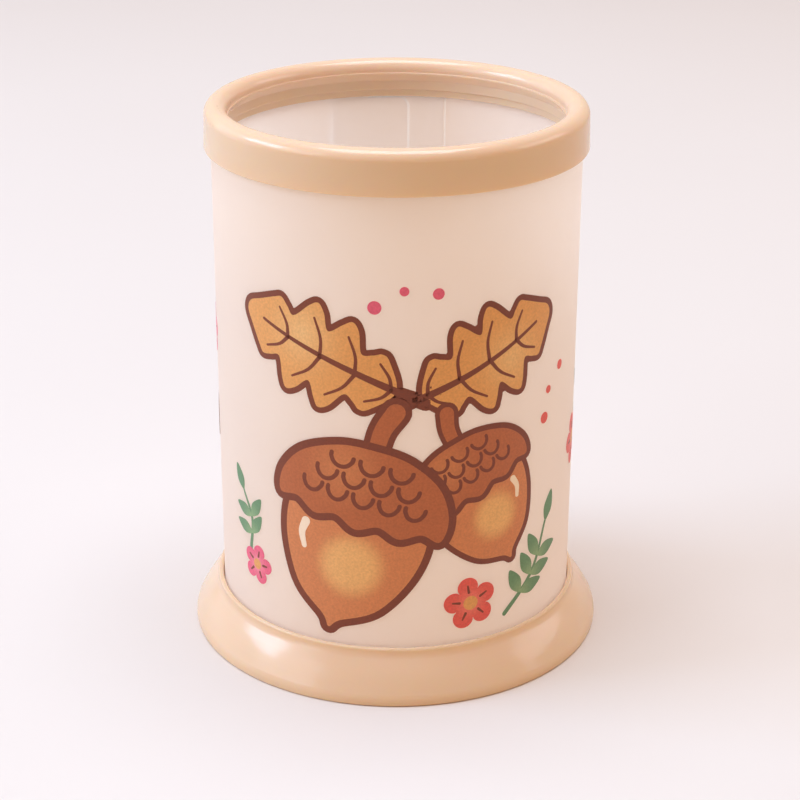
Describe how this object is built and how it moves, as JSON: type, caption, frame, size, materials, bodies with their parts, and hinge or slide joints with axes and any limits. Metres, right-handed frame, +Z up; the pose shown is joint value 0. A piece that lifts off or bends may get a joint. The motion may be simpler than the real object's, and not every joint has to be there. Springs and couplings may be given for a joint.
{
  "type": "pen holder",
  "caption": "Round desk pen holder: a frosted sheet rolled into a tube with a lapped seam, standing in a flared moulded base and topped by a moulded rim with a round bead.",
  "frame": {"origin": "middle of the foot, on the surface that the holder stands on", "axes": "+Z up the axis of the cup, +Y towards the back, where the sheet laps; the picture is taken from the -Y side"},
  "size_m": [0.0842, 0.0842, 0.1095],
  "materials": {
    "moulded_plastic": "peach-cream moulded plastic, glossy, letting a little light through at thin edges",
    "frosted_sheet": "milky frosted translucent sheet",
    "clear_tape": "clear double-sided adhesive strip"
  },
  "bodies": {
    "root": {"top_rim": "moulded_plastic", "sleeve": "frosted_sheet", "seam_tape": "clear_tape", "base": "moulded_plastic"}
  },
  "joints": []
}
